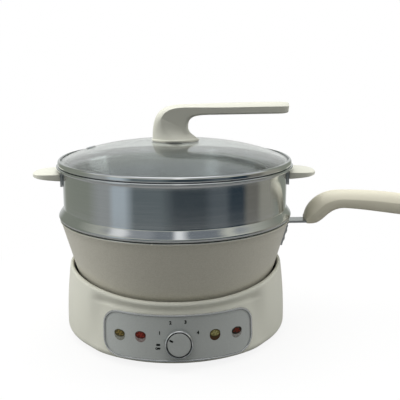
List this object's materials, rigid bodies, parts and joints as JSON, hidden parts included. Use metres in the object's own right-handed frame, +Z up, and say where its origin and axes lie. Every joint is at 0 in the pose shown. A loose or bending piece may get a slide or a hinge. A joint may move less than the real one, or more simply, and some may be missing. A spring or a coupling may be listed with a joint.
{
  "type": "electric wok with steamer",
  "caption": "Electric wok: heated base with a dial panel, flared pot with a long handle, steel steamer ring and a loose glass lid.",
  "frame": {"origin": "on the pot's axis at worktop height, in the middle of the bottom cover", "axes": "+X along the long handle, -Y towards the control panel, +Z up along the pot's axis"},
  "size_m": [0.5085, 0.2964, 0.2819],
  "materials": {
    "ivory_plastic": "satin-gloss ivory",
    "champagne_coat": "satin coating",
    "brushed_steel": "brushed",
    "chrome": "polished",
    "panel_paint": "satin silver-grey",
    "black_plastic": "moulded",
    "dark_rubber": "matte",
    "cast_aluminium": "as cast",
    "brass": "bright",
    "tinted_glass": "clear, faint grey-green",
    "lead_sheath": "soft sheath"
  },
  "bodies": {
    "base": {"base_shell": "ivory_plastic", "well_liner": "black_plastic", "bottom_cover": "black_plastic", "foot_front_left": "dark_rubber", "foot_front_right": "dark_rubber", "foot_back_left": "dark_rubber", "foot_back_right": "dark_rubber", "heating_plate": "cast_aluminium", "heating_element": "brushed_steel", "plate_stand": "brushed_steel", "sensor_guide": "brushed_steel", "thermal_fuse": "chrome", "fuse_clip": "brushed_steel", "heater_leads": "lead_sheath", "supply_leads": "lead_sheath", "control_panel": "panel_paint", "panel_bezel": "chrome", "switch_body": "black_plastic", "switch_nut": "brass", "mains_inlet": "black_plastic", "inlet_pins": "brass", "inlet_screws": "brushed_steel", "bottom_screws": "brushed_steel"},
    "knob": {"knob_body": "chrome", "knob_cap": "panel_paint", "switch_shaft": "brushed_steel"},
    "sensor": {"sensor_cap": "cast_aluminium", "sensor_spring": "brushed_steel"},
    "pot": {"pot_body": "champagne_coat", "handle_bracket": "brushed_steel", "handle_rivets": "chrome", "handle_grip": "ivory_plastic", "grip_screw": "brushed_steel"},
    "steamer": {"steamer_wall": "brushed_steel", "steamer_floor": "brushed_steel", "ear_bracket_left": "brushed_steel", "ear_bracket_right": "brushed_steel", "ear_grip_left": "ivory_plastic", "ear_grip_right": "ivory_plastic", "ear_screws": "brushed_steel"},
    "lid": {"lid_glass": "tinted_glass", "lid_band": "brushed_steel", "vent_grommet": "chrome", "lid_handle": "ivory_plastic", "handle_gasket": "dark_rubber", "handle_washer": "brushed_steel", "handle_screw": "brushed_steel"}
  },
  "joints": [
    {"name": "knob_turn", "type": "hinge", "parent": "base", "child": "knob", "pos_m": [0, -0.13656, 0.0305], "axis": [0, -0.9848, 0.1736], "range_deg": [-125, 35]},
    {"name": "sensor_press", "type": "slide", "parent": "base", "child": "sensor", "axis": [0, 0, 1], "range_m": [-0.003, 0], "stiffness_N_per_m": 400, "springref_m": 0.002, "deforming": ["sensor_spring"]},
    {"name": "pot_lift", "type": "slide", "parent": "base", "child": "pot", "axis": [0, 0, 1], "range_m": [0, 0.12]},
    {"name": "steamer_lift", "type": "slide", "parent": "pot", "child": "steamer", "axis": [0, 0, 1], "range_m": [0, 0.1]},
    {"name": "lid_lift", "type": "slide", "parent": "steamer", "child": "lid", "axis": [0, 0, 1], "range_m": [0, 0.1]}
  ]
}
